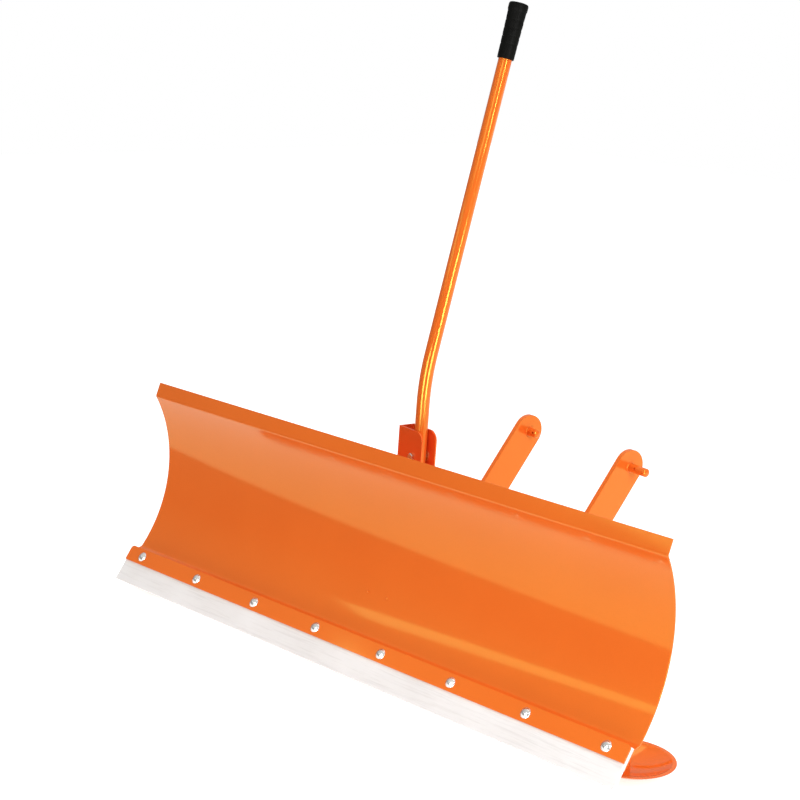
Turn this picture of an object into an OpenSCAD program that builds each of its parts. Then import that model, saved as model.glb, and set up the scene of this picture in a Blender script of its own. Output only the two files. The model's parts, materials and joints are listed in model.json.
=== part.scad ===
// Front plow blade with an angling push frame, a reach-up latch lever and dished skid shoes.
// X runs along the blade, +Y is to the rear (towards the machine), +Z is up. The floor is z = 0.

/* [Blade] */
// Width of the moldboard and of the scraper bar
blade_w = 1220; // [1000:10:1400]
// Thickness of the moldboard sheet
sheet_t = 3; // [2.5:0.5:4]
// Radius of the moldboard's hollow face
mold_r = 255; // [245:5:270]
// Height of the curve's centre over the scraper edge
mold_centre_z = 222; // [215:1:228]
// How far the deepest point of the hollow lies behind the scraper edge
mold_depth = 125; // [120:1:130]
// Height of the curve's top end over the scraper edge
curve_top_z = 360; // [340:1:370]
// Height of the curve's low end over the scraper edge
curve_low_z = 55; // [54:1:58]
// Length of the backward flange along the top
lip_len = 28; // [20:1:35]
// Backward lean of the top flange from the vertical
lip_lean = 20; // [10:1:30]

/* [Scraper edge] */
// Angle of the scraper bar from the floor
edge_angle = 54; // [52:1:56]
// Thickness of the scraper bar
bar_t = 8; // [7:1:9]
// Height of the scraper bar along its slope
bar_h = 71; // [66:1:72]
// Thickness of the clamp strip
strip_t = 3; // [2:0.5:4]
// Height of the clamp strip along its slope
strip_h = 30.7; // [28:0.1:32]
// Number of clamp bolts
clamp_count = 8; // [6:1:10]
// Spacing of the clamp bolts
clamp_pitch = 162.5; // [110:0.5:165]

/* [Angling] */
// Distance of the king pin behind the scraper edge
king_y = 188; // [186:1:192]
// Radius of the king pin
king_r = 10; // [9:1:11]
// Angle the blade is set to, a whole number of index steps
blade_angle = 10; // [0:10:20]
// Angle between two index holes
index_step = 10; // [10:1:10]
// Radius of the ring of index holes
index_r = 70; // [68:1:72]
// Radius of the latch pin
latch_r = 4; // [3.5:0.5:4]

/* [Push frame] */
// Distance between the middles of the two arms
arm_spread = 286; // [270:2:300]
// Thickness of an arm
arm_t = 10; // [8:1:12]
// Width of an arm
arm_w = 66; // [60:1:70]
// Distance of the hitch pins behind the king pin
hitch_back = 384; // [370:1:400]
// Height of the hitch pins over the scraper edge
hitch_z = 338; // [320:1:350]
// Radius of the hitch pins
hitch_r = 8; // [7:0.5:9]
// Length of the right hitch pin beyond its arm
hitch_long = 45; // [36:1:50]
// Length of the left hitch pin beyond its arm
hitch_short = 26; // [24:1:30]

/* [Lever] */
// Radius of the lever tube
tube_r = 12; // [11:0.5:12.5]
// Backward lean of the upper length of the lever
lever_lean = 12.7; // [8:0.1:16]
// Height over the scraper edge where the two straight lengths would meet
lever_knee_z = 503; // [495:1:510]
// Radius of the bend at the tube's middle
lever_bend_r = 420; // [300:10:450]
// Length of the upper straight from the knee to the top of the tube
lever_upper = 672; // [600:1:700]
// Length of the rubber grip
grip_len = 99; // [90:1:120]
// Outer radius of the rubber grip
grip_r = 17.5; // [16:0.5:19]
// Height of the lever's pivot bolt over the scraper edge
pivot_z = 363; // [360:1:368]

/* [Skid shoes] */
// Sideways place of each skid shoe from the middle of the blade
skid_x = 558; // [550:1:560]
// Distance of the dish's middle behind the scraper edge
skid_y = 112; // [111:1:114]
// Radius of the dish's rim
dish_r = 79; // [70:1:80]
// Depth of the dish
dish_h = 24; // [20:1:26]
// Thickness of the dish
dish_t = 4; // [3:0.5:5]
// Height of the scraper edge over the floor, as the skid shoes are set
edge_lift = 22; // [18:1:22]
// How far a skid shoe can be raised
skid_travel = 18; // [10:1:18]

/* [Hidden] */
$fn = 64;
orange = "darkorange";

// Curve of the moldboard
curve_y = mold_depth - mold_r;
mold_back_r = mold_r + sheet_t;
function front_y(z) = curve_y + sqrt(mold_r * mold_r - (z - mold_centre_z) * (z - mold_centre_z));
function back_y(z) = curve_y + sqrt(mold_back_r * mold_back_r - (z - mold_centre_z) * (z - mold_centre_z));
function curve_angle(z) = asin((z - mold_centre_z) / mold_r);

// Places on the scraper edge: u up the slope, w square to it and to the rear
function edge(u, w) = [u * cos(edge_angle) + w * sin(edge_angle), u * sin(edge_angle) - w * cos(edge_angle)];
strip_u = 42.3;
bolt_u = strip_u + strip_h / 2;
flange_low_u = 34;
flange_top_u = bolt_u + 12;
flange_back = bar_t + sheet_t;
bolt_r = 4;
bolt_hole_r = 4.4;
washer_t = 1.6;
nut_t = 6.5;

// Heights of the pivot's pieces over the scraper edge
hub_low_z = 80;
hub_top_z = 150;
thrust_t = 2;
thrust_play = 0.1;
plate_t = 10;
top_plate_z = hub_top_z + thrust_t;
bottom_plate_z = hub_low_z - thrust_t - plate_t;
hub_r = 25;
bushing_r = 13;
king_hole_r = king_r + 0.05;
web_z = 112;
web_t = 6;
index_t = 8;
index_z = 134;
index_edge_r = index_r + 12;
index_holes = 3;
tongue_x = 20;
tongue_t = 6;
rib_x = 123;
rib_t = 6;

// Arms and cross tube, in the push frame's own axes from the king pin
cross_y = 222;
cross_z = (bottom_plate_z + top_plate_z + plate_t) / 2;
cross_w = 60;
cross_wall = 5;
arm_dir = [hitch_back - cross_y, hitch_z - cross_z];
arm_angle = atan2(arm_dir[1], arm_dir[0]);
arm_len = norm(arm_dir);
arm_inner = arm_spread / 2 - arm_t / 2;
cotter_hole_r = 2.2;

// Lever bracket: a folded channel, open to the right
bracket_left = 42;
bracket_right = 26;
bracket_half = 17;
bracket_wall = 3;
bracket_top_z = 412;
bracket_round = 18;
bracket_low_z = top_plate_z + plate_t;
pivot_r = 4;
pivot_hole_r = pivot_r + 0.06;
tail_z = 310;
tube_wall = 2;
knee_cut = lever_bend_r * tan(lever_lean / 2);
crank_z = 300;
crank_y = 5.6;
crank_t = 5;
crank_pin_r = 3;

// Latch pin, its collar and its spring
latch_tip_z = index_z - 2;
latch_top_z = 309;
guide_top_z = 190;
upper_guide_z = 246;
collar_t = 6;
collar_r = 9.5;
spring_wire_r = 0.9;
spring_r = 6.6;
spring_turns = 6;
spring_sides = 8;
spring_steps = 14;

// Skid shoes
rib_end_x = 538;
rib_end_t = 5;
strap_x = rib_end_x + rib_end_t;
strap_t = 8;
strap_y = 93.5;
strap_w = 37.5;
strap_top = 64;
skid_bolt_r = 6;
skid_bolt_y = strap_y + strap_w / 2;
skid_bolt_zs = [20, 46];
dish_ball_r = (dish_r * dish_r + dish_h * dish_h) / (2 * dish_h);

// The frame reaches from the scraper edge to the round end of the left arm
reach_y = king_y + (hitch_back + arm_w / 2) * cos(blade_angle) + (arm_inner + arm_t) * sin(blade_angle);
middle_y = reach_y / 2;

// ---------- Placing ----------

// The blade's own axes: y from the scraper edge, z from the scraper edge
module in_blade() {
    translate([0, -middle_y, edge_lift]) children();
}

// The push frame's own axes: from the king pin, turned against the blade
module in_frame() {
    in_blade() translate([0, king_y, 0]) rotate([0, 0, -blade_angle]) children();
}

// A side outline (first axis y, second axis z) drawn out along X
module along_x(from, length) {
    translate([from, 0, 0]) rotate([90, 0, 90]) linear_extrude(length) children();
}

// Local x along the blade, local z square into the scraper edge from its front
module on_edge(u, w) {
    at = edge(u, w);
    translate([0, at[0], at[1]]) rotate([180 + edge_angle, 0, 0]) children();
}

module at_clamp_bolts() {
    for (i = [0 : clamp_count - 1])
        translate([(i - (clamp_count - 1) / 2) * clamp_pitch, 0, 0]) children();
}

module ring(outer, inner, height) {
    difference() {
        cylinder(r = outer, h = height);
        translate([0, 0, -1]) cylinder(r = inner, h = height + 2);
    }
}

// The round bar behind the moldboard, to cut pieces that are welded to its back
module sheet_back_roll() {
    translate([-blade_w, curve_y, mold_centre_z]) rotate([0, 90, 0]) cylinder(r = mold_back_r, h = 2 * blade_w);
}

// ---------- Blade ----------

// A corner of the sheet's back, where its path turns from angle a to angle b
function back_corner(p, a, b) =
    p + sheet_t / cos((b - a) / 2) * [sin((a + b) / 2), -cos((a + b) / 2)];

module moldboard_outline() {
    low = edge(flange_low_u, bar_t);
    crease = edge(flange_top_u, bar_t);
    curve_low = [front_y(curve_low_z), curve_low_z];
    curve_top = [front_y(curve_top_z), curve_top_z];
    step_angle = atan2(curve_low[1] - crease[1], curve_low[0] - crease[0]);
    low_tangent = 90 + curve_angle(curve_low_z);
    top_tangent = 90 + curve_angle(curve_top_z);
    lip_angle = 90 - lip_lean;
    lip_end = curve_top + lip_len * [cos(lip_angle), sin(lip_angle)];
    far = 2 * mold_r;
    intersection() {
        translate([curve_y, mold_centre_z]) difference() {
            circle(r = mold_back_r, $fn = 256);
            circle(r = mold_r, $fn = 256);
        }
        polygon([[curve_y, mold_centre_z],
            [curve_y, mold_centre_z] + far * [cos(curve_angle(curve_low_z)), sin(curve_angle(curve_low_z))],
            [curve_y + far, mold_centre_z],
            [curve_y, mold_centre_z] + far * [cos(curve_angle(curve_top_z)), sin(curve_angle(curve_top_z))]]);
    }
    polygon([low, crease, curve_low,
        back_corner(curve_low, low_tangent, low_tangent),
        back_corner(curve_low, step_angle, low_tangent),
        back_corner(crease, edge_angle, step_angle),
        edge(flange_low_u, flange_back)]);
    polygon([curve_top, lip_end,
        back_corner(lip_end, lip_angle, lip_angle),
        back_corner(curve_top, top_tangent, lip_angle)]);
}

module moldboard() {
    color(orange) in_blade() difference() {
        along_x(-blade_w / 2, blade_w) moldboard_outline();
        on_edge(bolt_u, bar_t - 1) at_clamp_bolts() cylinder(r = bolt_hole_r, h = sheet_t + 2);
    }
}

module scraper_bar() {
    color("white") in_blade() on_edge(0, 0) difference() {
        translate([-blade_w / 2, -bar_h, 0]) cube([blade_w, bar_h, bar_t]);
        translate([0, -bolt_u, -1]) at_clamp_bolts() cylinder(r = bolt_hole_r, h = bar_t + 2);
    }
}

module clamp_strip() {
    round_r = 7;
    color(orange) in_blade() on_edge(strip_u, -strip_t) difference() {
        linear_extrude(strip_t) {
            translate([-blade_w / 2, -strip_h + round_r]) square([blade_w, strip_h - round_r]);
            translate([-blade_w / 2 + round_r, -strip_h]) square([blade_w - 2 * round_r, strip_h]);
            for (side = [-1, 1])
                translate([side * (blade_w / 2 - round_r), -strip_h + round_r]) circle(r = round_r);
        }
        translate([0, -strip_h / 2, -1]) at_clamp_bolts() cylinder(r = bolt_hole_r, h = strip_t + 2);
    }
}

// A round-headed bolt: the head is a slice of a ball
module dome_bolt(head_r, head_h, shank_r, shank_len) {
    ball_r = (head_r * head_r + head_h * head_h) / (2 * head_h);
    intersection() {
        translate([0, 0, ball_r - head_h]) sphere(r = ball_r);
        translate([0, 0, -head_h]) cylinder(r = head_r + 1, h = head_h);
    }
    cylinder(r = shank_r, h = shank_len);
}

module clamp_bolts() {
    length = strip_t + flange_back + washer_t + nut_t + 3;
    color("silver") in_blade() on_edge(bolt_u, -strip_t) at_clamp_bolts() dome_bolt(9.5, 4.5, bolt_r, length);
}

module clamp_washers() {
    color("silver") in_blade() on_edge(bolt_u, flange_back) at_clamp_bolts() ring(8, bolt_hole_r, washer_t);
}

module hex_nut(across, hole_r, height) {
    difference() {
        cylinder(r = across / 2 / cos(30), h = height, $fn = 6);
        translate([0, 0, -1]) cylinder(r = hole_r, h = height + 2);
    }
}

module clamp_nuts() {
    color("silver") in_blade() on_edge(bolt_u, flange_back + washer_t) at_clamp_bolts() hex_nut(13, bolt_r, nut_t);
}

// A plate across the back of the moldboard, its front edge on the sheet
module rib(from, thick, foot_z, foot_y) {
    in_blade() difference() {
        along_x(from, thick) difference() {
            polygon([[foot_y, foot_z], [138, foot_z], [152, foot_z + 52], [152, 255], [119, 305], [60, 305], [60, 58]]);
            translate([curve_y, mold_centre_z]) circle(r = mold_back_r, $fn = 256);
        }
        children();
    }
}

module skid_bolt_holes(from) {
    for (z = skid_bolt_zs)
        translate([from - 1, skid_bolt_y, z]) rotate([0, 90, 0]) cylinder(r = skid_bolt_r + 0.3, h = rib_end_t + 2);
}

module end_rib_right() {
    color(orange) rib(rib_end_x, rib_end_t, 8, 90) skid_bolt_holes(rib_end_x);
}

module end_rib_left() {
    color(orange) mirror([1, 0, 0]) rib(rib_end_x, rib_end_t, 8, 90) skid_bolt_holes(rib_end_x);
}

module centre_rib_right() {
    color(orange) rib(rib_x, rib_t, 60, 86);
}

module centre_rib_left() {
    color(orange) mirror([1, 0, 0]) rib(rib_x, rib_t, 60, 86);
}

// A channel with its toes on the sheet, from a centre rib to an end rib
module back_channel() {
    low = mold_centre_z - 30;
    wall = 4;
    color(orange) in_blade() along_x(rib_x + rib_t, rib_end_x - rib_x - rib_t) difference() {
        translate([120, low]) square([25, 60]);
        translate([119, low + wall]) square([26 - wall, 60 - 2 * wall]);
        translate([curve_y, mold_centre_z]) circle(r = mold_back_r, $fn = 256);
    }
}

module back_channel_right() {
    back_channel();
}

module back_channel_left() {
    mirror([1, 0, 0]) back_channel();
}

module tongue_plates() {
    color(orange) in_blade() difference() {
        for (side = [-1, 1])
            translate([side * tongue_x - tongue_t / 2, 60, hub_low_z])
                cube([tongue_t, king_y - 60, hub_top_z - hub_low_z]);
        sheet_back_roll();
        translate([0, king_y, hub_low_z - 1]) cylinder(r = hub_r, h = hub_top_z - hub_low_z + 2);
    }
}

module tongue_webs() {
    inner = tongue_x + tongue_t / 2;
    color(orange) in_blade() difference() {
        for (side = [-1, 1])
            scale([side, 1, 1]) translate([0, 0, web_z]) linear_extrude(web_t)
                polygon([[inner, 90], [rib_x, 90], [rib_x, 138], [inner, 172]]);
        sheet_back_roll();
    }
}

module pivot_hub() {
    color(orange) in_blade() translate([0, king_y, hub_low_z]) ring(hub_r, bushing_r, hub_top_z - hub_low_z);
}

module hub_bushing() {
    color("darkgoldenrod") in_blade() translate([0, king_y, hub_low_z])
        ring(bushing_r, king_hole_r, hub_top_z - hub_low_z);
}

module index_plate() {
    half = index_step * index_holes + 8;
    far = 2 * index_edge_r;
    weld_x = tongue_x + tongue_t / 2;
    color(orange) in_blade() translate([0, king_y, index_z]) difference() {
        linear_extrude(index_t) difference() {
            intersection() {
                circle(r = index_edge_r);
                polygon([[0, 0], far * [-cos(half), sin(half)], [-far, 0], far * [-cos(half), -sin(half)]]);
            }
            circle(r = hub_r);
            translate([-weld_x, -far]) square([far, 2 * far]);
        }
        for (i = [-index_holes : index_holes]) rotate([0, 0, i * index_step])
            translate([-index_r, 0, -1]) cylinder(r = latch_r + 0.06, h = index_t + 2);
    }
}

module skid_bolts() {
    shank = rib_end_t + strap_t + 2.5 + 10 + 3;
    color("silver") in_blade() for (side = [-1, 1]) scale([side, 1, 1]) for (z = skid_bolt_zs)
        translate([rib_end_x, skid_bolt_y, z]) rotate([0, 90, 0]) {
            cylinder(r = skid_bolt_r, h = shank);
            translate([0, 0, -7.5]) cylinder(r = 18 / 2 / cos(30), h = 7.5, $fn = 6);
        }
}

module skid_washers() {
    color("silver") in_blade() for (side = [-1, 1]) scale([side, 1, 1]) for (z = skid_bolt_zs)
        translate([strap_x + strap_t, skid_bolt_y, z]) rotate([0, 90, 0]) ring(12, skid_bolt_r + 0.3, 2.5);
}

module skid_nuts() {
    color("silver") in_blade() for (side = [-1, 1]) scale([side, 1, 1]) for (z = skid_bolt_zs)
        translate([strap_x + strap_t + 2.5, skid_bolt_y, z]) rotate([0, 90, 0]) hex_nut(18, skid_bolt_r, 10);
}

// ---------- Skid shoes ----------

// A bowl cut from a ball, its lowest point on the floor
module skid_dish() {
    color(orange) in_blade() translate([skid_x, skid_y, -edge_lift]) intersection() {
        translate([0, 0, dish_ball_r]) difference() {
            sphere(r = dish_ball_r);
            sphere(r = dish_ball_r - dish_t);
        }
        cylinder(r = dish_r, h = dish_h);
    }
}

// An upright flat bar in the bowl, with a slot for its two bolts
module skid_strap() {
    slot_low = skid_bolt_zs[0] - skid_travel;
    slot_r = skid_bolt_r + 0.4;
    color(orange) in_blade() difference() {
        translate([strap_x, strap_y, -edge_lift]) cube([strap_t, strap_w, strap_top + edge_lift]);
        translate([strap_x - 1, skid_bolt_y, 0]) rotate([90, 0, 90]) linear_extrude(strap_t + 2) {
            translate([0, slot_low]) circle(r = slot_r);
            translate([0, skid_bolt_zs[1]]) circle(r = slot_r);
            translate([-slot_r, slot_low]) square([2 * slot_r, skid_bolt_zs[1] - slot_low]);
        }
        translate([skid_x, skid_y, -edge_lift - 1]) difference() {
            translate([-60, -60, 0]) cube([120, 120, dish_h]);
            translate([0, 0, dish_ball_r + 1]) sphere(r = dish_ball_r - dish_t);
        }
    }
}

module skid_dish_right() {
    skid_dish();
}

module skid_dish_left() {
    mirror([1, 0, 0]) skid_dish();
}

module skid_strap_right() {
    skid_strap();
}

module skid_strap_left() {
    mirror([1, 0, 0]) skid_strap();
}

// ---------- Push frame ----------

// Both pivot plates: round at the king pin, wide at the cross tube
module plate_outline() {
    nose_r = 40;
    tail_y = cross_y + cross_w / 2;
    difference() {
        union() {
            circle(r = nose_r);
            polygon([[-nose_r, 0], [nose_r, 0], [85, cross_y - cross_w / 2], [85, tail_y],
                [-85, tail_y], [-85, cross_y - cross_w / 2]]);
            children();
        }
        circle(r = king_hole_r);
    }
}

module frame_top_plate() {
    color(orange) in_frame() translate([0, 0, top_plate_z]) difference() {
        linear_extrude(plate_t) plate_outline() {
            translate([-index_r, 0]) circle(r = 15);
            polygon([[-index_r, -15], [0, -15], [0, 60], [-48, 60], [-index_r - 15, 0]]);
        }
        translate([-index_r, 0, -1]) cylinder(r = latch_r + 0.06, h = plate_t + 2);
    }
}

module frame_bottom_plate() {
    color(orange) in_frame() translate([0, 0, bottom_plate_z]) linear_extrude(plate_t) plate_outline();
}

module cross_tube() {
    low = bottom_plate_z + plate_t;
    high = top_plate_z;
    color(orange) in_frame() along_x(-arm_inner, 2 * arm_inner) difference() {
        translate([cross_y - cross_w / 2, low]) square([cross_w, high - low]);
        translate([cross_y - cross_w / 2 + cross_wall, low + cross_wall])
            square([cross_w - 2 * cross_wall, high - low - 2 * cross_wall]);
    }
}

// A flat bar with round ends, drilled for its hitch pin
module arm(from) {
    color(orange) in_frame() along_x(from, arm_t) translate([cross_y, cross_z]) rotate(arm_angle) difference() {
        union() {
            circle(r = arm_w / 2);
            translate([arm_len, 0]) circle(r = arm_w / 2);
            translate([0, -arm_w / 2]) square([arm_len, arm_w]);
        }
        translate([arm_len, 0]) circle(r = hitch_r - 1.5);
    }
}

module arm_right() {
    arm(arm_inner);
}

module arm_left() {
    arm(-arm_inner - arm_t);
}

// A pin with a thinner root welded in its arm, domed at the free end and cross-drilled for a clip
module hitch_pin(from, length) {
    color(orange) in_frame() translate([from, hitch_back, hitch_z]) rotate([0, 90, 0]) difference() {
        union() {
            cylinder(r = hitch_r - 1.5, h = arm_t + 1);
            translate([0, 0, arm_t]) cylinder(r = hitch_r, h = length - 3);
            translate([0, 0, arm_t + length - 3]) intersection() {
                cylinder(r = hitch_r, h = 3);
                translate([0, 0, 3 - 12.2]) sphere(r = 12.2);
            }
        }
        translate([0, 0, arm_t + 18]) rotate([0, 0, 70]) rotate([0, 90, 0]) translate([0, 0, -20]) cylinder(r = cotter_hole_r, h = 40);
    }
}

module hitch_pin_right() {
    hitch_pin(arm_inner, hitch_long);
}

module hitch_pin_left() {
    hitch_pin(-arm_inner - arm_t, hitch_short);
}

module thrust_washers() {
    color("dimgray") in_frame() for (z = [hub_low_z - thrust_t, hub_top_z + thrust_play])
        translate([0, 0, z]) ring(hub_r, king_hole_r, thrust_t - thrust_play);
}

module king_pin() {
    low = bottom_plate_z - 16;
    color("silver") in_frame() difference() {
        union() {
            translate([0, 0, low]) cylinder(r = king_r, h = top_plate_z + plate_t - low);
            translate([0, 0, top_plate_z + plate_t]) cylinder(r = 13, h = 8);
        }
        translate([0, 0, low + 7]) rotate([90, 0, 0]) translate([0, 0, -20]) cylinder(r = cotter_hole_r, h = 40);
    }
}

module king_pin_washer() {
    color("silver") in_frame() translate([0, 0, bottom_plate_z - 3]) ring(18, king_hole_r, 3);
}

// A split pin: its shank through the king pin, its eye in front
module king_pin_cotter() {
    color("silver") in_frame() translate([0, 0, bottom_plate_z - 9]) {
        rotate([90, 0, 0]) translate([0, 0, -16]) cylinder(r = cotter_hole_r - 0.1, h = 30);
        translate([0, -17, 0]) rotate([0, 90, 0]) translate([0, 0, -1.6]) ring(4.5, 2, 3.2);
    }
}

module latch_guide() {
    low = top_plate_z + plate_t;
    color(orange) in_frame() translate([-index_r, 0, low]) ring(11, latch_r + 0.06, guide_top_z - low);
}

module upper_guide() {
    color(orange) in_frame() translate([0, 0, upper_guide_z]) difference() {
        translate([-index_r - 13, -13, 0]) cube([index_r + 13 - bracket_left, 26, 5]);
        translate([-index_r, 0, -1]) cylinder(r = latch_r + 0.06, h = 7);
    }
}

// One flange of the channel, seen from the front, with its upper outer corner rounded
module bracket_flange(from) {
    height = bracket_top_z - bracket_low_z;
    translate([0, from + bracket_wall, bracket_low_z]) rotate([90, 0, 0]) linear_extrude(bracket_wall) {
        translate([-bracket_left, 0]) square([bracket_left + bracket_right, height - bracket_round]);
        translate([-bracket_left, 0]) square([bracket_left + bracket_right - bracket_round, height]);
        translate([bracket_right - bracket_round, height - bracket_round]) circle(r = bracket_round);
    }
}

module lever_bracket() {
    color(orange) in_frame() difference() {
        union() {
            bracket_flange(-bracket_half);
            bracket_flange(bracket_half - bracket_wall);
            translate([-bracket_left, -bracket_half, bracket_low_z])
                cube([bracket_wall, 2 * bracket_half, bracket_top_z - bracket_low_z]);
        }
        translate([0, 30, pivot_z]) rotate([90, 0, 0]) cylinder(r = pivot_hole_r, h = 60);
        translate([-bracket_left - 1, 1, crank_z - 20])
            cube([bracket_wall + 2, bracket_half - bracket_wall - 1, 46]);
    }
}

module lever_pivot_bolt() {
    color("silver") in_frame() translate([0, -bracket_half, pivot_z]) rotate([-90, 0, 0]) {
        cylinder(r = pivot_r, h = 2 * bracket_half + 12);
        translate([0, 0, -5]) cylinder(r = 13 / 2 / cos(30), h = 5, $fn = 6);
    }
}

module lever_pivot_washers() {
    thick = bracket_half - bracket_wall - tube_r - 0.3;
    color("dimgray") in_frame() for (side = [-1, 1])
        translate([0, side < 0 ? -bracket_half + bracket_wall : tube_r + 0.3, pivot_z])
            rotate([-90, 0, 0]) ring(10, pivot_hole_r, thick);
}

module lever_pivot_nut() {
    color("silver") in_frame() translate([0, bracket_half, pivot_z]) rotate([-90, 0, 0]) hex_nut(13, pivot_r, 8);
}

// ---------- Lever ----------

// The bent stretch, a hair thinner than the straights and running a little way into both
module lever_bend(radius) {
    run_in = atan2(4, lever_bend_r);
    translate([0, lever_bend_r, lever_knee_z - knee_cut]) rotate([90, 0, -90]) rotate([0, 0, -run_in])
        rotate_extrude(angle = lever_lean + 2 * run_in) translate([lever_bend_r, 0]) circle(r = radius - 0.1);
}

// The lever's path as a round bar, longer by extra at both ends
module lever_bar(radius, extra) {
    translate([0, 0, tail_z - extra]) cylinder(r = radius, h = lever_knee_z - knee_cut - tail_z + extra);
    lever_bend(radius);
    translate([0, 0, lever_knee_z]) rotate([-lever_lean, 0, 0]) translate([0, 0, knee_cut])
        cylinder(r = radius, h = lever_upper - knee_cut + extra);
}

module lever_tube() {
    color(orange) in_frame() difference() {
        lever_bar(tube_r, 0);
        lever_bar(tube_r - tube_wall, 1);
        translate([0, 30, pivot_z]) rotate([90, 0, 0]) cylinder(r = pivot_hole_r, h = 60);
    }
}

// A plate under the tube's end, slotted for the latch's cross pin
module lever_crank() {
    slot_r = crank_pin_r + 0.6;
    reach_in = index_r - 13;
    reach_out = index_r + 1.5;
    color(orange) in_frame() translate([0, crank_y + crank_t, 0]) rotate([90, 0, 0]) linear_extrude(crank_t)
        difference() {
            union() {
                translate([-reach_out, crank_z - 10]) square([reach_out + 10, 20]);
                translate([-reach_out, crank_z]) circle(r = 10);
            }
            translate([-reach_out, crank_z]) circle(r = slot_r);
            translate([-reach_in, crank_z]) circle(r = slot_r);
            translate([-reach_out, crank_z - slot_r]) square([reach_out - reach_in, 2 * slot_r]);
        }
}

// A closed rubber sleeve, flared at its top, with shallow finger rings
module lever_grip() {
    socket = grip_len - 5;
    color([0.1, 0.1, 0.1]) in_frame() translate([0, 0, lever_knee_z]) rotate([-lever_lean, 0, 0])
        translate([0, 0, lever_upper - socket]) difference() {
            union() {
                cylinder(r1 = grip_r - 2.5, r2 = grip_r - 0.5, h = grip_len - 14, $fn = 96);
                translate([0, 0, grip_len - 14]) cylinder(r = grip_r, h = 10);
                translate([0, 0, grip_len - 4]) cylinder(r1 = grip_r, r2 = grip_r - 3, h = 4);
            }
            translate([0, 0, -1]) cylinder(r = tube_r, h = socket + 1);
        }
}

// ---------- Latch ----------

module latch_pin() {
    color("silver") in_frame() translate([-index_r, 0, 0]) difference() {
        translate([0, 0, latch_tip_z]) cylinder(r = latch_r, h = latch_top_z - latch_tip_z);
        translate([0, 20, crank_z]) rotate([90, 0, 0]) cylinder(r = 2.5, h = 40);
    }
}

module latch_cross_pin() {
    color("silver") in_frame() translate([-index_r, -latch_r - 1, crank_z]) rotate([-90, 0, 0]) {
        cylinder(r = 2.5, h = latch_r + 1 + crank_y - 0.5);
        translate([0, 0, latch_r + 1 + crank_y - 0.5]) cylinder(r = crank_pin_r, h = crank_t + 2);
    }
}

module latch_collar() {
    color("silver") in_frame() translate([-index_r, 0, guide_top_z]) ring(collar_r, latch_r, collar_t);
}

// A wire wound along a helix; every ring of points stands square to the pin's axis plane
function wire_point(turn, side) =
    let (around = 360 * turn, face = 360 * side / spring_sides,
        out = spring_r + spring_wire_r * cos(face),
        rise = (upper_guide_z - guide_top_z - collar_t - 2 * spring_wire_r) / spring_turns)
    [out * cos(around), out * sin(around), rise * turn + spring_wire_r * (1 + sin(face))];

module latch_spring() {
    rings = spring_turns * spring_steps;
    color("gray") in_frame() translate([-index_r, 0, guide_top_z + collar_t]) polyhedron(
        points = [for (i = [0 : rings]) for (s = [0 : spring_sides - 1]) wire_point(i / spring_steps, s)],
        faces = concat(
            [[for (s = [0 : spring_sides - 1]) s]],
            [for (i = [0 : rings - 1]) for (s = [0 : spring_sides - 1])
                [i * spring_sides + s, (i + 1) * spring_sides + s,
                    (i + 1) * spring_sides + (s + 1) % spring_sides, i * spring_sides + (s + 1) % spring_sides]],
            [[for (s = [spring_sides - 1 : -1 : 0]) rings * spring_sides + s]]));
}

moldboard();
scraper_bar();
clamp_strip();
clamp_bolts();
clamp_washers();
clamp_nuts();
end_rib_left();
end_rib_right();
centre_rib_left();
centre_rib_right();
back_channel_left();
back_channel_right();
tongue_plates();
tongue_webs();
pivot_hub();
hub_bushing();
index_plate();
skid_bolts();
skid_washers();
skid_nuts();
skid_dish_left();
skid_strap_left();
skid_dish_right();
skid_strap_right();
frame_top_plate();
frame_bottom_plate();
cross_tube();
arm_left();
arm_right();
hitch_pin_left();
hitch_pin_right();
thrust_washers();
king_pin();
king_pin_washer();
king_pin_cotter();
latch_guide();
upper_guide();
lever_bracket();
lever_pivot_bolt();
lever_pivot_washers();
lever_pivot_nut();
lever_tube();
lever_crank();
lever_grip();
latch_pin();
latch_collar();
latch_cross_pin();
latch_spring();
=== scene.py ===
import json
import math
import random

import bmesh
import bpy
from mathutils import Matrix, Vector

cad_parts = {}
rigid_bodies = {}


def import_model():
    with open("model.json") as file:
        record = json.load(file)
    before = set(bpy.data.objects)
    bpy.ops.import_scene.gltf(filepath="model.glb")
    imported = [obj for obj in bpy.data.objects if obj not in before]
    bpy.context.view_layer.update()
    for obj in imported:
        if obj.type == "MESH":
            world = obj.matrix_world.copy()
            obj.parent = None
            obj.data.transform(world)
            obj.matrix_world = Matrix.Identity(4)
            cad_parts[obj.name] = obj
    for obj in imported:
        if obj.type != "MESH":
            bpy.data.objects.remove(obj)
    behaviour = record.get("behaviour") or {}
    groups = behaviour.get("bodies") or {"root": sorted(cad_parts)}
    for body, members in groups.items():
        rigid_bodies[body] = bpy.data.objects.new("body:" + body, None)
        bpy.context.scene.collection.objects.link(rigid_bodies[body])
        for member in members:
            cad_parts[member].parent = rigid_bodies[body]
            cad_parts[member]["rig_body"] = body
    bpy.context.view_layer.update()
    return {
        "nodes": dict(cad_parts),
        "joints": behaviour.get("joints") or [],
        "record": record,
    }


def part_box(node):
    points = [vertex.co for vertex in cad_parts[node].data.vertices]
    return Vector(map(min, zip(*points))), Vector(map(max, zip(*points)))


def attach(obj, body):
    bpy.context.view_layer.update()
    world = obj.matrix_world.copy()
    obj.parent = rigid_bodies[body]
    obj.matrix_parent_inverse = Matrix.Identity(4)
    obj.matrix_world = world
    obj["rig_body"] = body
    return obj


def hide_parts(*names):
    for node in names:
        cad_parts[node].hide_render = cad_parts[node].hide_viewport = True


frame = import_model()
nodes = frame["nodes"]
joints = {j["name"]: j for j in frame["joints"]}
random.seed(7)
MM = 0.001

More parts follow.
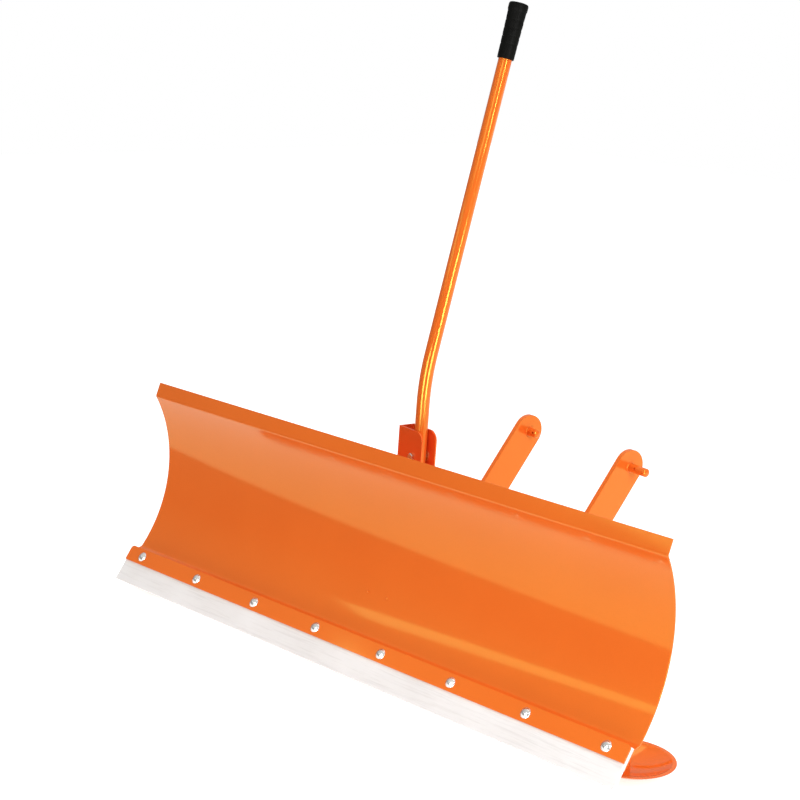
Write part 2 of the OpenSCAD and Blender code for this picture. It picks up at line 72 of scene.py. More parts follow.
# ---------- places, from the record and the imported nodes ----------
K = Vector(joints["blade_swing"]["pos_m"])
AXIS = Vector(joints["lever_swing"]["axis"])
PIVOT = Vector(joints["lever_swing"]["pos_m"])
YAW = -math.atan2(AXIS.x, AXIS.y)
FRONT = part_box("scraper_bar")[0].y
KING_Z = 0.115  # the king pin's anchor over the scraper edge
LIFT = K.z - KING_Z
T_BLADE = Matrix.Translation((0, FRONT, LIFT))
T_FRAME = Matrix.Translation((K.x, K.y, LIFT)) @ Matrix.Rotation(YAW, 4, "Z")
EDGE = math.radians(54)
HALF_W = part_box("moldboard")[1].x


def edge(u, w):
    """A point u along and w in front of the scraper bar's slope, in blade millimetres."""
    return (u * math.cos(EDGE) + w * math.sin(EDGE), u * math.sin(EDGE) - w * math.cos(EDGE))


def t_edge(x, u, w):
    """The place of a bolt set square on the scraper bar's slope."""
    y, z = edge(u, w)
    return T_BLADE @ Matrix.Translation((x * MM, y * MM, z * MM)) @ Matrix.Rotation(math.pi + EDGE, 4, "X")


# ---------- node-based materials ----------
def material(name):
    m = bpy.data.materials.new(name)
    m.use_nodes = True
    nt = m.node_tree
    return m, nt, nt.nodes["Principled BSDF"]


def add(nt, kind, **values):
    n = nt.nodes.new(kind)
    for k, v in values.items():
        if k in n.inputs:
            n.inputs[k].default_value = v
        else:
            setattr(n, k, v)
    return n


def coords(nt, scale=(1, 1, 1)):
    tc = nt.nodes.new("ShaderNodeTexCoord")
    mp = nt.nodes.new("ShaderNodeMapping")
    mp.inputs["Scale"].default_value = scale
    nt.links.new(tc.outputs["Object"], mp.inputs["Vector"])
    return mp.outputs["Vector"]


def noise(nt, vector, scale, detail=4.0, rough=0.5):
    n = add(nt, "ShaderNodeTexNoise", Scale=scale, Detail=detail, Roughness=rough)
    nt.links.new(vector, n.inputs["Vector"])
    return n.outputs["Fac"]


def ramp(nt, fac, stops):
    r = nt.nodes.new("ShaderNodeValToRGB")
    while len(r.color_ramp.elements) < len(stops):
        r.color_ramp.elements.new(0.5)
    for el, (at, colour) in zip(r.color_ramp.elements, stops):
        el.position = at
        el.color = colour if len(colour) == 4 else (*colour, 1)
    nt.links.new(fac, r.inputs["Fac"])
    return r.outputs["Color"]


def to_range(nt, fac, low, high, from_low=0.3, from_high=0.7):
    m = nt.nodes.new("ShaderNodeMapRange")
    m.inputs["From Min"].default_value = from_low
    m.inputs["From Max"].default_value = from_high
    m.inputs["To Min"].default_value = low
    m.inputs["To Max"].default_value = high
    nt.links.new(fac, m.inputs["Value"])
    return m.outputs["Result"]


def bump(nt, bsdf, height, strength, distance):
    b = add(nt, "ShaderNodeBump", Strength=strength, Distance=distance)
    nt.links.new(height, b.inputs["Height"])
    nt.links.new(b.outputs["Normal"], bsdf.inputs["Normal"])


def multiply(nt, fac, a, b):
    m = nt.nodes.new("ShaderNodeMix")
    m.data_type = "RGBA"
    m.blend_type = "MULTIPLY"
    m.inputs[0].default_value = fac
    nt.links.new(a, m.inputs[6])
    nt.links.new(b, m.inputs[7])
    return m.outputs[2]


def paint(name, low, mid, high, rough=(0.07, 0.12), peel=0.014):
    """Powder coat: slow drifts of tone, orange peel in the bump, a little dust in the roughness."""
    m, nt, b = material(name)
    v = coords(nt)
    slow = noise(nt, v, 2.3, 3.0, 0.55)
    fine = noise(nt, v, 60.0, 5.0, 0.6)
    tone = ramp(nt, slow, [(0.3, low), (0.5, mid), (0.72, high)])
    specks = ramp(nt, noise(nt, v, 900.0, 2.0, 0.5), [(0.30, (0.86, 0.86, 0.86)), (0.42, (1, 1, 1))])
    nt.links.new(multiply(nt, 0.5, tone, specks), b.inputs["Base Color"])
    nt.links.new(to_range(nt, fine, rough[0], rough[1]), b.inputs["Roughness"])
    b.inputs["IOR"].default_value = 1.75
    b.inputs["Specular Tint"].default_value = (0.7, 0.9, 0.15, 1)
    bump(nt, b, noise(nt, v, 320.0, 2.0, 0.45), peel, 0.0006)
    return m


def metal(name, low, high, rough, scale=220.0):
    """Bare or plated metal with fine grain."""
    m, nt, b = material(name)
    v = coords(nt)
    fine = noise(nt, v, scale, 6.0, 0.65)
    slow = noise(nt, v, scale * 0.12, 3.0, 0.5)
    nt.links.new(ramp(nt, slow, [(0.3, low), (0.7, high)]), b.inputs["Base Color"])
    b.inputs["Metallic"].default_value = 1.0
    nt.links.new(to_range(nt, fine, rough[0], rough[1]), b.inputs["Roughness"])
    bump(nt, b, fine, 0.12, 0.0002)
    return m


def white_bar():
    """Off-white bar with smudges and scratches along its length."""
    m, nt, b = material("white_bar_paint")
    v = coords(nt)
    long_v = coords(nt, (1.0, 26.0, 26.0))
    smudge = noise(nt, v, 5.0, 5.0, 0.6)
    streak = noise(nt, long_v, 9.0, 6.0, 0.7)
    tone = ramp(nt, smudge, [(0.35, (0.80, 0.775, 0.755)), (0.65, (0.88, 0.865, 0.85))])
    lines = ramp(nt, streak, [(0.34, (0.80, 0.79, 0.78)), (0.5, (1, 1, 1))])
    nt.links.new(multiply(nt, 0.55, tone, lines), b.inputs["Base Color"])
    nt.links.new(to_range(nt, streak, 0.32, 0.5), b.inputs["Roughness"])
    bump(nt, b, streak, 0.08, 0.0005)
    return m


def rubber():
    """Matt black rubber with a pebbled skin."""
    m, nt, b = material("grip_rubber")
    v = coords(nt)
    cells = add(nt, "ShaderNodeTexVoronoi", Scale=900.0)
    nt.links.new(v, cells.inputs["Vector"])
    dust = noise(nt, v, 26.0, 5.0, 0.6)
    tone = ramp(nt, dust, [(0.35, (0.0035, 0.0035, 0.003)), (0.7, (0.007, 0.007, 0.006))])
    nt.links.new(tone, b.inputs["Base Color"])
    nt.links.new(to_range(nt, dust, 0.38, 0.55), b.inputs["Roughness"])
    b.inputs["Specular IOR Level"].default_value = 0.04
    bump(nt, b, cells.outputs["Distance"], 0.25, 0.0003)
    return m


ORANGE = paint("orange_powder_coat", (0.81, 0.128, 0.015), (0.84, 0.140, 0.017), (0.87, 0.152, 0.019))
# a redder copy of the orange paint: painted shade, its tone stands for the shade and orange bounce light
# inside the lever bracket
SHADED_ORANGE = paint("orange_powder_coat_painted_shade", (0.88, 0.098, 0.019), (0.90, 0.106, 0.022), (0.93, 0.114, 0.025))
WHITE = white_bar()
ZINC = metal("bright_zinc", (0.66, 0.65, 0.62), (0.80, 0.79, 0.76), (0.16, 0.30))
BRONZE = metal("bushing_bronze", (0.48, 0.30, 0.13), (0.60, 0.41, 0.20), (0.35, 0.5), 500.0)
SPRING = metal("spring_steel", (0.24, 0.24, 0.25), (0.36, 0.36, 0.37), (0.28, 0.42), 400.0)
RUBBER = rubber()
WELD = paint("painted_weld", (0.80, 0.108, 0.014), (0.84, 0.122, 0.016), (0.87, 0.135, 0.018),
             rough=(0.24, 0.38), peel=0.12)
SLOTS = {"orange_paint": ORANGE, "white_bar": WHITE, "zinc": ZINC, "bronze": BRONZE,
         "spring_steel": SPRING, "black_rubber": RUBBER}
slot_of = {s["node"]: s["material_slot"] for s in frame["record"]["subparts"]}
for node, obj in nodes.items():
    obj.data.materials.clear()
    obj.data.materials.append(SLOTS[slot_of[node]])


# ---------- mesh helpers ----------
def shade(me, angle=32):
    bm = bmesh.new()
    bm.from_mesh(me)
    bmesh.ops.recalc_face_normals(bm, faces=bm.faces)
    for f in bm.faces:
        f.smooth = True
    for e in bm.edges:
        e.smooth = not (e.is_manifold and e.calc_face_angle(0) > math.radians(angle))
    bm.to_mesh(me)
    bm.free()


def finish_piece(obj, mat, body, replaced=()):
    obj.data.materials.clear()
    obj.data.materials.append(mat)
    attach(obj, body)
    if replaced:
        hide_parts(*replaced)
    return obj


def new_object(name, verts, faces, matrix=None):
    me = bpy.data.meshes.new(name)
    me.from_pydata([tuple(v) for v in verts], [], faces)
    if matrix is not None:
        me.transform(matrix)
    me.update()
    obj = bpy.data.objects.new(name, me)
    bpy.context.scene.collection.objects.link(obj)
    return obj


def apply_modifiers(obj):
    bpy.context.view_layer.update()
    dg = bpy.context.evaluated_depsgraph_get()
    me = bpy.data.meshes.new_from_object(obj.evaluated_get(dg))
    obj.modifiers.clear()
    old = obj.data
    obj.data = me
    bpy.data.meshes.remove(old)


def bevel(obj, width, segments=2, angle=35):
    mod = obj.modifiers.new("bevel", "BEVEL")
    mod.width = width
    mod.segments = segments
    mod.limit_method = "ANGLE"
    mod.angle_limit = math.radians(angle)
    mod.use_clamp_overlap = True
    mod.miter_outer = "MITER_ARC"
    apply_modifiers(obj)
    shade(obj.data, 38)
    mod = obj.modifiers.new("normals", "WEIGHTED_NORMAL")
    mod.keep_sharp = True
    mod.weight = 60
    apply_modifiers(obj)


def soften(node, width=0.8, segments=2, mat=None):
    """A copy of a CAD node with its sharp edges broken, standing for that node."""
    me = nodes[node].data.copy()
    me.name = node + "_eased"
    bm = bmesh.new()
    bm.from_mesh(me)
    bmesh.ops.remove_doubles(bm, verts=bm.verts, dist=2e-6)
    bmesh.ops.dissolve_limit(bm, angle_limit=math.radians(0.6), verts=bm.verts, edges=bm.edges)
    bm.to_mesh(me)
    bm.free()
    obj = bpy.data.objects.new(node + "_eased", me)
    bpy.context.scene.collection.objects.link(obj)
    if me.has_custom_normals:
        bpy.context.view_layer.objects.active = obj
        with bpy.context.temp_override(object=obj, active_object=obj):
            bpy.ops.mesh.customdata_custom_splitnormals_clear()
    bevel(obj, width * MM, segments)
    body = nodes[node]["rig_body"]
    return finish_piece(obj, mat or SLOTS[slot_of[node]], body, [node])


def lathe(profile, segments, matrix, name):
    """profile: (radius, height) from the bottom up, in millimetres; closed on the axis where the radius is 0.
    A radius may also be a function of the angle."""
    verts, faces, rows = [], [], []
    for r, h in profile:
        if not callable(r) and r < 1e-6:
            rows.append([len(verts)])
            verts.append((0, 0, h * MM))
            continue
        rows.append(list(range(len(verts), len(verts) + segments)))
        for i in range(segments):
            a = 2 * math.pi * i / segments
            radius = r(a) if callable(r) else r
            verts.append((radius * MM * math.cos(a), radius * MM * math.sin(a), h * MM))
    for a, b in zip(rows, rows[1:]):
        for i in range(segments):
            j = (i + 1) % segments
            if len(a) == 1:
                faces.append((a[0], b[j], b[i]))
            elif len(b) == 1:
                faces.append((a[i], a[j], b[0]))
            else:
                faces.append((a[i], a[j], b[j], b[i]))
    return new_object(name, verts, faces, matrix)


def join(objs, name):
    me = bpy.data.meshes.new(name)
    bm = bmesh.new()
    for o in objs:
        bm.from_mesh(o.data)
    bm.to_mesh(me)
    bm.free()
    for o in objs:
        bpy.data.objects.remove(o)
    obj = bpy.data.objects.new(name, me)
    bpy.context.scene.collection.objects.link(obj)
    return obj


def bead(path, radius, matrix, name, sides=10, pitch=2.6):
    """A weld bead: a rippled rope of metal laid along a line of points, in millimetres."""
    pts = [Vector(p) for p in path]
    length = sum((b - a).length for a, b in zip(pts, pts[1:]))
    count = max(6, int(length / (pitch / 3)))
    walk = []
    seg, left = 0, 0.0
    for i in range(count + 1):
        s = length * i / count
        while seg < len(pts) - 2 and s > left + (pts[seg + 1] - pts[seg]).length:
            left += (pts[seg + 1] - pts[seg]).length
            seg += 1
        d = pts[seg + 1] - pts[seg]
        walk.append(pts[seg] + d * min(1.0, (s - left) / d.length))
    verts, faces = [], []
    wander = random.uniform(0, 9)
    for i, p in enumerate(walk):
        t = (walk[min(i + 1, count)] - walk[max(i - 1, 0)]).normalized()
        side = t.cross(Vector((0.31, 0.52, 0.79))).normalized()
        up = side.cross(t)
        s = length * i / count
        end = min(1.0, min(s, length - s) / radius + 0.25)
        r = radius * end * (1 + 0.11 * math.cos(2 * math.pi * s / pitch) + 0.07 * math.sin(s / 17 + wander))
        for k in range(sides):
            a = 2 * math.pi * k / sides
            verts.append((p + side * (r * math.cos(a)) + up * (r * math.sin(a))) * MM)
    for i in range(count):
        for k in range(sides):
            m = (k + 1) % sides
            faces.append((i * sides + k, i * sides + m, (i + 1) * sides + m, (i + 1) * sides + k))
    faces.append(tuple(range(sides))[::-1])
    faces.append(tuple(count * sides + k for k in range(sides)))
    obj = new_object(name, verts, faces, matrix)
    shade(obj.data, 60)
    return obj


# ---------- moldboard ----------
MOLD_R, MOLD_Y, MOLD_Z, SHEET = 255.0, -130.0, 222.0, 3.0
CURVE_LOW, CURVE_HIGH = 55.0, 360.0
LIP_LENGTH, LIP_LEAN = 28, math.radians(70)


def back_y(z):
    return MOLD_Y + math.sqrt((MOLD_R + SHEET) ** 2 - (z - MOLD_Z) ** 2)


def rounded(points, radii):
    """A line through the points with each corner eased by a short curve."""
    out = [Vector(points[0])]
    for i in range(1, len(points) - 1):
        p, d = Vector(points[i]), radii.get(i, 0)
        if not d:
            out.append(p)
            continue
        a = p + (Vector(points[i - 1]) - p).normalized() * d
        b = p + (Vector(points[i + 1]) - p).normalized() * d
        for k in range(9):
            t = k / 8
            out.append(a * (1 - t) ** 2 + p * 2 * t * (1 - t) + b * t ** 2)
    out.append(Vector(points[-1]))
    return out


def moldboard():
    """The bent sheet: a flat foot behind the bar, the curve, and the lip along the top."""
    a0, a1 = (math.asin((z - MOLD_Z) / MOLD_R) for z in (CURVE_LOW, CURVE_HIGH))
    steps = 72
    angles = [a0 + (a1 - a0) * i / steps for i in range(steps + 1)]
    curve = [(MOLD_Y + MOLD_R * math.cos(a), MOLD_Z + MOLD_R * math.sin(a)) for a in angles]
    top_y = MOLD_Y + math.sqrt(MOLD_R ** 2 - (CURVE_HIGH - MOLD_Z) ** 2)
    lip = (top_y + LIP_LENGTH * math.cos(LIP_LEAN), CURVE_HIGH + LIP_LENGTH * math.sin(LIP_LEAN))
    pts = [edge(34, 8), edge(69.6, 8)] + curve + [lip]
    line = rounded(pts, {1: 3.5, 2: 2.6, 2 + steps: 3.4})
    clean = [line[0]]
    for p in line[1:]:
        if (p - clean[-1]).length > 0.25:
            clean.append(p)
    back = []
    for i, p in enumerate(clean):
        t = (clean[min(i + 1, len(clean) - 1)] - clean[max(i - 1, 0)]).normalized()
        back.append(p + Vector((t.y, -t.x)) * SHEET)
    outline = clean + back[::-1]
    n = len(outline)
    xs = [-HALF_W + 2 * HALF_W * i / 24 for i in range(25)]
    verts = [(x, p.x * MM, p.y * MM) for x in xs for p in outline]
    faces = []
    for i in range(len(xs) - 1):
        for k in range(n):
            m = (k + 1) % n
            faces.append((i * n + k, i * n + m, (i + 1) * n + m, (i + 1) * n + k))
    half = len(clean)
    for base, flip in ((0, True), ((len(xs) - 1) * n, False)):
        for k in range(half - 1):
            q = (base + k, base + k + 1, base + n - 2 - k, base + n - 1 - k)
            faces.append(q[::-1] if flip else q)
    obj = new_object("moldboard_sheet", verts, faces, T_BLADE)
    bevel(obj, 0.7 * MM, 2, 40)
    return finish_piece(obj, ORANGE, "blade", ["moldboard"])


moldboard()

# ---------- nodes that only need their edges broken ----------
for node in ("scraper_bar", "clamp_strip"):
    soften(node, 0.9, 3)
for node in ("end_rib_left", "end_rib_right", "centre_rib_left", "centre_rib_right", "back_channel_left",
             "back_channel_right", "tongue_plates", "tongue_webs", "index_plate", "frame_top_plate",
             "frame_bottom_plate", "arm_left", "arm_right", "lever_crank", "skid_strap_left",
             "skid_strap_right", "upper_guide"):
    soften(node, 0.7)
# the lever bracket gets the redder copy of the orange, which paints in its shade
soften("lever_bracket", 0.7, mat=SHADED_ORANGE)
soften("cross_tube", 2.0, 3)
for node in ("clamp_nuts", "skid_nuts", "lever_pivot_nut", "clamp_washers", "skid_washers",
             "king_pin_washer", "thrust_washers", "pivot_hub", "latch_guide", "latch_collar"):
    soften(node, 0.35)


# ---------- fasteners ----------
def thread(shank_r, root, start, length, pitch):
    """The end of a bolt: plain shank up to start, rolled thread, and a chamfered tip."""
    prof = [(shank_r, start - 0.3)]
    h = start
    while h < length - pitch:
        prof += [(shank_r * root, h), (shank_r * root, h + pitch * 0.15),
                 (shank_r, h + pitch * 0.5), (shank_r, h + pitch * 0.65)]
        h += pitch
    return prof + [(shank_r * root, length - 0.4), (shank_r * 0.8, length), (0, length)]


def dome(head_r, head_h, shank_r, length, thread_from, pitch, name, matrix):
    """A round-headed bolt along local z, its head below 0."""
    ball = (head_r ** 2 + head_h ** 2) / (2 * head_h)
    top = math.acos(1 - (head_h - 0.5) / ball)
    prof = [(ball * math.sin(top * i / 14), -head_h + ball * (1 - math.cos(top * i / 14))) for i in range(15)]
    prof += [(head_r - 0.05, -0.35), (head_r - 0.25, 0.0), (shank_r, 0.0)]
    return lathe(prof + thread(shank_r, 0.86, thread_from, length, pitch), 40, matrix, name)


CLAMP_COUNT, CLAMP_PITCH = 8, 162.5
bolts = []
for i in range(CLAMP_COUNT):
    x = (i - (CLAMP_COUNT - 1) / 2) * CLAMP_PITCH
    bolts.append(dome(9.5, 4.5, 4.0, 27.1, 16.2, 1.25, "clamp_bolt", t_edge(x, 57.65, -3)))
bolts = join(bolts, "clamp_bolt_set")
shade(bolts.data, 30)
finish_piece(bolts, ZINC, "blade", ["clamp_bolts"])


def hexagon_bolt(across, head_h, shank_r, length, thread_from, pitch, name, matrix):
    """A hexagon-headed bolt along local z, its head below 0, chamfered on top."""
    def hexagon(a):
        off = (a + math.pi / 6) % (math.pi / 3) - math.pi / 6
        return across / 2 / math.cos(off)
    prof = [(0.0, -head_h), (across / 2 * 0.93, -head_h), (hexagon, -head_h + head_h * 0.16),
            (hexagon, 0.0), (shank_r, 0.0)]
    return lathe(prof + thread(shank_r, 0.87, thread_from, length, pitch), 36, matrix, name)


SKID_BOLT_X, SKID_BOLT_Y, SKID_BOLT_Z = 538, 112.25, (20, 46)
skid = []
for side in (-1, 1):
    for z in SKID_BOLT_Z:
        turn = Matrix.Rotation(side * math.pi / 2, 4, "Y")
        place = Matrix.Translation((side * SKID_BOLT_X * MM, SKID_BOLT_Y * MM, z * MM)) @ turn
        skid.append(hexagon_bolt(18, 7.5, 6.0, 28.5, 18.0, 1.75, "skid_bolt", T_BLADE @ place))
skid = join(skid, "skid_bolt_set")
shade(skid.data, 28)
finish_piece(skid, ZINC, "blade", ["skid_bolts"])
place = Matrix.Translation((0, -17 * MM, PIVOT.z - LIFT)) @ Matrix.Rotation(-math.pi / 2, 4, "X")
pivot = hexagon_bolt(13, 5, 4.0, 46.0, 36.0, 1.25, "lever_pivot_screw", T_FRAME @ place)
shade(pivot.data, 28)
finish_piece(pivot, ZINC, "push_frame", ["lever_pivot_bolt"])


# ---------- skid dishes ----------
DISH_R, DISH_H, DISH_WALL = 79.0, 24.0, 4.0
DISH_X, DISH_Y, DISH_LIFT = 558, 112, 22
DISH_BALL = (DISH_R ** 2 + DISH_H ** 2) / (2 * DISH_H)


def dish(side):
    """A shallow bowl with a rolled rim."""
    name = "right" if side > 0 else "left"
    lo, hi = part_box("skid_dish_right" if side > 0 else "skid_dish_left")
    centre = (lo + hi) / 2
    ball, wall = DISH_BALL, DISH_WALL
    inner = ball - wall
    end = math.asin(DISH_R / ball)
    prof = []
    for i in range(41):
        a = (end - 0.008) * i / 40
        prof.append((ball * math.sin(a), ball * (1 - math.cos(a))))
    a = end - 0.008
    mid_r = (ball + inner) / 2
    cr, ch = mid_r * math.sin(a - 0.008), ball - mid_r * math.cos(a - 0.008)
    for k in range(1, 10):
        t = a - math.pi / 2 + math.pi * k / 10
        prof.append((cr + wall / 2 * math.cos(t), ch + wall / 2 * math.sin(t)))
    inside = []
    for i in range(41):
        b = (end - 0.016) * i / 40
        inside.append((inner * math.sin(b), ball - inner * math.cos(b)))
    prof += inside[::-1]
    obj = lathe(prof, 96, Matrix.Translation((centre.x, centre.y, lo.z)), "skid_dish_form_" + name)
    for v in obj.data.vertices:
        v.co.z = min(v.co.z, hi.z)
    shade(obj.data, 40)
    return finish_piece(obj, ORANGE, name + "_skid", ["skid_dish_" + name])


dish(1)
dish(-1)


# ---------- lever tube and grip ----------
LEAN, KNEE, BEND, UPPER, TAIL = math.radians(12.7), 503.0, 420.0, 672.0, 310.0
CUT = BEND * math.tan(LEAN / 2)
TUBE_R, BORE_R, BORE_DEPTH, GRIP_COVER = 12, 10, 40.0, 94


def lever_path():
    """The tube's centre line: straight, bent back by LEAN about the knee, straight."""
    pts = [Vector((0, 0, TAIL + i * (KNEE - CUT - TAIL) / 6)) for i in range(7)]
    for i in range(1, 15):
        a = LEAN * i / 14
        pts.append(Vector((0, BEND * (1 - math.cos(a)), KNEE - CUT + BEND * math.sin(a))))
    d = Vector((0, math.sin(LEAN), math.cos(LEAN)))
    for i in range(1, 25):
        pts.append(Vector((0, 0, KNEE)) + d * (CUT + (UPPER - CUT) * i / 24))
    return pts


def lever():
    """The bent tube, open at its lower end."""
    pts, seg = lever_path(), 48
    verts, faces = [], []
    rings = []
    for i, p in enumerate(pts):
        t = (pts[min(i + 1, len(pts) - 1)] - pts[max(i - 1, 0)]).normalized()
        side = Vector((1, 0, 0))
        up = t.cross(side)
        ring = []
        for k in range(seg):
            a = 2 * math.pi * k / seg
            ring.append(len(verts))
            verts.append((p + side * (TUBE_R * math.cos(a)) + up * (TUBE_R * math.sin(a))) * MM)
        rings.append(ring)
    inner = []
    for z in (TAIL, TAIL + BORE_DEPTH):
        ring = []
        for k in range(seg):
            a = 2 * math.pi * k / seg
            ring.append(len(verts))
            verts.append(Vector((BORE_R * math.cos(a), BORE_R * math.sin(a), z)) * MM)
        inner.append(ring)
    for a, b in zip(rings, rings[1:]):
        for k in range(seg):
            m = (k + 1) % seg
            faces.append((a[k], a[m], b[m], b[k]))
    faces.append(tuple(rings[-1]))
    faces.append(tuple(inner[1]))
    for k in range(seg):
        m = (k + 1) % seg
        faces.append((rings[0][k], inner[0][-k % seg], inner[0][-m % seg], rings[0][m]))
        faces.append((inner[0][k], inner[0][m], inner[1][m], inner[1][k]))
    obj = new_object("lever_tube_form", verts, faces, T_FRAME)
    shade(obj.data, 40)
    return finish_piece(obj, ORANGE, "lever", ["lever_tube"])


lever()


def grip():
    """The rubber grip, swelling upwards, with four shallow grooves and a rolled end."""
    base = T_FRAME @ Matrix.Translation((0, 0, KNEE * MM)) @ Matrix.Rotation(-LEAN, 4, "X")
    base = base @ Matrix.Translation((0, 0, (UPPER - GRIP_COVER) * MM))
    prof = [(12.05, 0.6), (13.2, 0.0), (14.4, 0.3), (15.0, 1.4)]
    for i in range(1, 60):
        h = 1.4 + 82.0 * i / 60
        r = 15.0 + 1.5 * (h / 84) ** 1.2
        for at in (26, 40, 54, 68):
            r -= 0.55 * math.exp(-((h - at) / 1.5) ** 2)
        prof.append((r, h))
    prof += [(16.6, 84.2), (16.9, 85.0), (17.35, 86.2), (17.5, 88.0), (17.5, 94.2), (17.35, 95.8),
             (16.8, 97.3), (15.8, 98.4), (14.2, 98.95), (9.0, 99.0), (8.2, 98.6), (0, 98.6)]
    obj = lathe(prof, 72, base, "lever_grip_form")
    shade(obj.data, 45)
    return finish_piece(obj, RUBBER, "lever", ["lever_grip"])


grip()


# ---------- hitch pins ----------
HITCH_Y, HITCH_Z, HITCH_R, ROOT_R, DOME_H, ARM_T = 384, 338, 8.0, 6.5, 3.4, 10
CLIP_R, CLIP_AT, CLIP_TURN = 2.2, 28, math.radians(70)


def hitch_pin(name, start, length):
    """A pin with a thinner root in its arm, a domed end and a cross hole for a clip."""
    full = ARM_T + length
    prof = [(0, 0.2), (ROOT_R - 0.3, 0.2), (ROOT_R, 0.5), (ROOT_R, ARM_T), (HITCH_R, ARM_T)]
    prof += [(HITCH_R, h) for h in (20.0, 30.0) if h < full - 4]
    prof.append((HITCH_R, full - DOME_H))
    for i in range(1, 9):
        a = math.pi / 2 * i / 8
        prof.append((HITCH_R * math.cos(a) if i < 8 else 0.0, full - DOME_H + DOME_H * math.sin(a)))
    quarter = Matrix.Rotation(math.pi / 2, 4, "Y")
    at = T_FRAME @ Matrix.Translation((start * MM, HITCH_Y * MM, HITCH_Z * MM)) @ quarter
    obj = lathe(prof, 48, at, name + "_form")
    across = at @ Matrix.Translation((0, 0, CLIP_AT * MM)) @ Matrix.Rotation(CLIP_TURN, 4, "Z") @ quarter
    hole = lathe([(0, -20), (CLIP_R, -20), (CLIP_R, 20), (0, 20)], 24, across, "clip_hole")
    mod = obj.modifiers.new("hole", "BOOLEAN")
    mod.operation = "DIFFERENCE"
    mod.solver = "EXACT"
    mod.object = hole
    apply_modifiers(obj)
    bpy.data.objects.remove(hole)
    shade(obj.data, 35)
    return finish_piece(obj, ORANGE, "push_frame", [name])


hitch_pin("hitch_pin_right", 138, 45)
hitch_pin("hitch_pin_left", -148, 26)

# ---------- weld beads ----------
RIB_FACES, TONGUE_FACES, CHANNEL_EDGES = (538, 543, 123, 129), (17, 23), (192, 252)
beads = {"blade": [], "push_frame": [], "lever": [], "left_skid": [], "right_skid": []}


def weld(body, path, radius, pitch=2.6):
    """Lay a bead on a body, along a path in that body's millimetres."""
    turn = T_FRAME if body in ("push_frame", "lever") else T_BLADE
    beads[body].append(bead(path, radius, turn, "bead", pitch=pitch))


def circle(radius, start=0, stop=361, step=12):
    """Points about the middle, from start to stop in degrees."""
    turns = [math.radians(a) for a in range(start, stop, step)]
    return [(radius * math.cos(a), radius * math.sin(a)) for a in turns]


for side in (-1, 1):
    # ribs, tongue plates and back channels against the sheet, then the webs
    for x in RIB_FACES:
        weld("blade", [(side * x, back_y(z) + 0.6, z) for z in range(70, 300, 10)], 2.0)
    for x in TONGUE_FACES:
        weld("blade", [(side * x, back_y(z) + 0.6, z) for z in range(82, 150, 8)], 1.9)
    for z in CHANNEL_EDGES:
        weld("blade", [(side * x, back_y(z) + 0.8, z) for x in (140, 250, 370, 527)], 1.7)
    weld("blade", [(side * 23, 100, 118), (side * 23, 168, 118)], 1.8)
# the hub
weld("blade", [(x, 188 + y, 142.4) for x, y in circle(25.8, 150, 215, 6)], 1.5)
# arms and plates on the cross tube
for e in (-138, 138):
    for z in (78, 152):
        weld("push_frame", [(e, 196, z), (e, 248, z)], 2.2)
for z in (152, 78):
    weld("push_frame", [(-82, 192, z), (82, 192, z)], 2.0)
# the bracket's foot
for y in (-17, 17):
    weld("push_frame", [(-40, y, 162.3), (24, y, 162.3)], 1.8)
weld("push_frame", [(-42, -15, 162.3), (-42, 15, 162.3)], 1.8)
# the hitch pins' roots
for e in (148, -138):
    weld("push_frame", [(e + 0.4, HITCH_Y + y, HITCH_Z + z) for y, z in circle(8.6)], 1.5, pitch=3.0)
# the latch guide, the upper guide and the crank
weld("push_frame", [(-70 + x, y, 162.4) for x, y in circle(11.6)], 1.4)
for z in (246, 251):
    weld("push_frame", [(-42, -11, z), (-42, 11, z)], 1.3)
weld("lever", [(-10, 5.4, 310), (10, 5.4, 310)], 1.1)
# the skid straps in their dishes
for name, side in (("left_skid", -1), ("right_skid", 1)):
    inner = DISH_BALL - DISH_WALL
    for x in (543, 551):
        path = []
        for i in range(9):
            y = 95 + i * 4.3
            d2 = (x - DISH_X) ** 2 + (y - DISH_Y) ** 2
            path.append((side * x, y, -DISH_LIFT + DISH_WALL + inner - math.sqrt(inner ** 2 - d2) + 0.3))
        weld(name, path, 1.9)
for body, group in beads.items():
    obj = join(group, body + "_welds")
    finish_piece(obj, WELD, body)

# ---------- floor, light and camera ----------
# cut off along a slanting line in front; past it, reflections meet the sky's dark low end
FLOOR = [(-7.31, 2.69, 0), (4.44, -3.5, 0), (9, -3.5, 0), (9, 9, 0), (-7.31, 9, 0)]
floor = new_object("floor", FLOOR, [tuple(range(len(FLOOR)))])
m, nt, b = material("pale_floor")
tone = ramp(nt, noise(nt, coords(nt), 0.7, 3.0), [(0.3, (0.58, 0.58, 0.58)), (0.7, (0.61, 0.61, 0.61))])
nt.links.new(tone, b.inputs["Base Color"])
b.inputs["Roughness"].default_value = 0.85
b.inputs["Emission Color"].default_value = (1, 1, 1, 1)
b.inputs["Emission Strength"].default_value = 0.78
floor.data.materials.append(m)

world = bpy.data.worlds.new("studio")
bpy.context.scene.world = world
world.use_nodes = True
wt = world.node_tree
sky = wt.nodes["Background"]
direction = wt.nodes.new("ShaderNodeTexCoord")
split = wt.nodes.new("ShaderNodeSeparateXYZ")
wt.links.new(direction.outputs["Generated"], split.inputs[0])
heights = wt.nodes.new("ShaderNodeValToRGB")
heights.color_ramp.elements[0].position = 0.1
heights.color_ramp.elements[0].color = (0.33, 0.33, 0.33, 1)
heights.color_ramp.elements[1].position = 0.9
heights.color_ramp.elements[1].color = (0.85, 0.85, 0.85, 1)
wt.links.new(split.outputs["Z"], heights.inputs["Fac"])
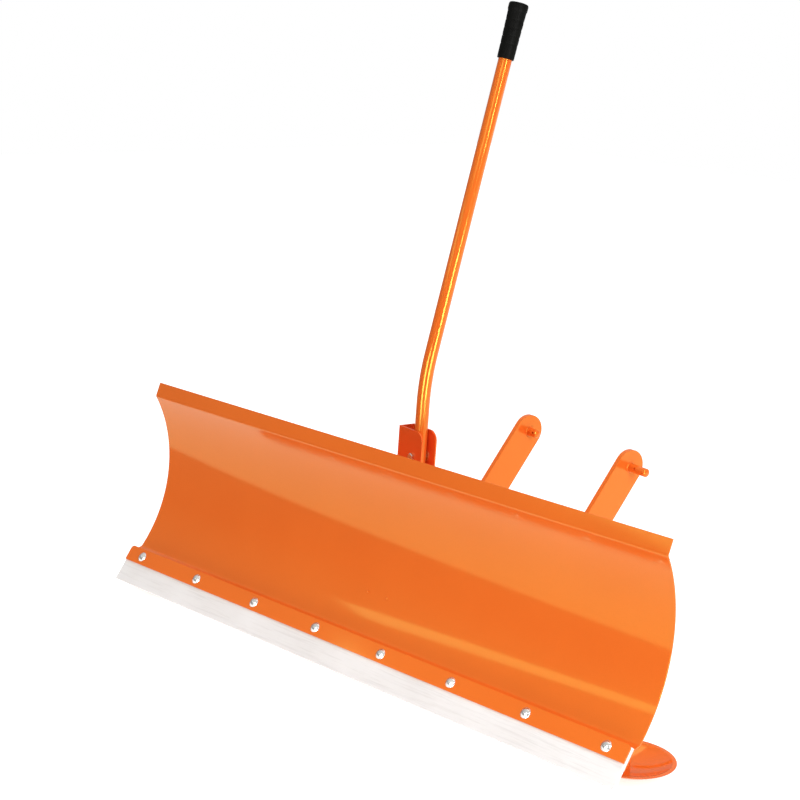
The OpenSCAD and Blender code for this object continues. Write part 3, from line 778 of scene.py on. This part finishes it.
# plain white behind the object, a soft grey sky for light and reflections
seen = wt.nodes.new("ShaderNodeLightPath")
choose = wt.nodes.new("ShaderNodeMix")
choose.data_type = "RGBA"
wt.links.new(seen.outputs["Is Camera Ray"], choose.inputs[0])
wt.links.new(heights.outputs["Color"], choose.inputs[6])
choose.inputs[7].default_value = (1.0, 1.0, 1.0, 1)
wt.links.new(choose.outputs[2], sky.inputs["Color"])
sky.inputs["Strength"].default_value = 1.0


def area(name, at, to, size, energy):
    light = bpy.data.lights.new(name, "AREA")
    light.shape = "RECTANGLE"
    light.size, light.size_y = size
    light.energy = energy
    obj = bpy.data.objects.new(name, light)
    obj.location = at
    obj.rotation_mode = "QUATERNION"
    obj.rotation_quaternion = (Vector(to) - Vector(at)).to_track_quat("-Z", "Y")
    bpy.context.scene.collection.objects.link(obj)
    return obj


area("key", (3.3, -0.95, 1.9), (0, 0, 0.45), (0.45, 1.5), 50)
area("fill", (1.2, -3.6, 2.6), (0, -0.1, 0.3), (1.6, 1.6), 24)
area("strip", (-0.95, -2.05, 1.25), (0.45, -0.2, 0.12), (1.5, 0.2), 1.6)
area("top", (0.2, 0.9, 3.6), (0, 0, 0.2), (2.4, 2.0), 27)
# two cards that only show in reflections, as the paired streaks on round pieces
for name, at, width, power in (("card_left", (0.49, -1.96, 0.42), 0.8, 26),
                               ("card_right", (1.86, -0.62, 0.42), 0.7, 32)):
    card = area(name, at, (0, -0.12, 0.42), (width, 0.84), power)
    card.visible_diffuse = False

cam_data = bpy.data.cameras.new("camera")
cam_data.lens = 81.0
cam_data.sensor_width = 36.0
cam_data.clip_end = 60.0
cam = bpy.data.objects.new("camera", cam_data)
az, el, roll = (math.radians(v) for v in (42.1, 13.0, 4.0))
right = Vector((math.cos(az), math.sin(az), 0))
look = Vector((-math.sin(az) * math.cos(el), math.cos(az) * math.cos(el), -math.sin(el)))
up = right.cross(look)
right2 = right * math.cos(roll) + up * math.sin(roll)
up2 = up * math.cos(roll) - right * math.sin(roll)
place = Vector((2.05963, FRONT - 2.15319, LIFT + 1.18290))
cam.matrix_world = Matrix((
    (right2.x, up2.x, -look.x, place.x),
    (right2.y, up2.y, -look.y, place.y),
    (right2.z, up2.z, -look.z, place.z),
    (0, 0, 0, 1)))
bpy.context.scene.collection.objects.link(cam)
bpy.context.scene.camera = cam
bpy.context.scene.view_settings.view_transform = "Standard"
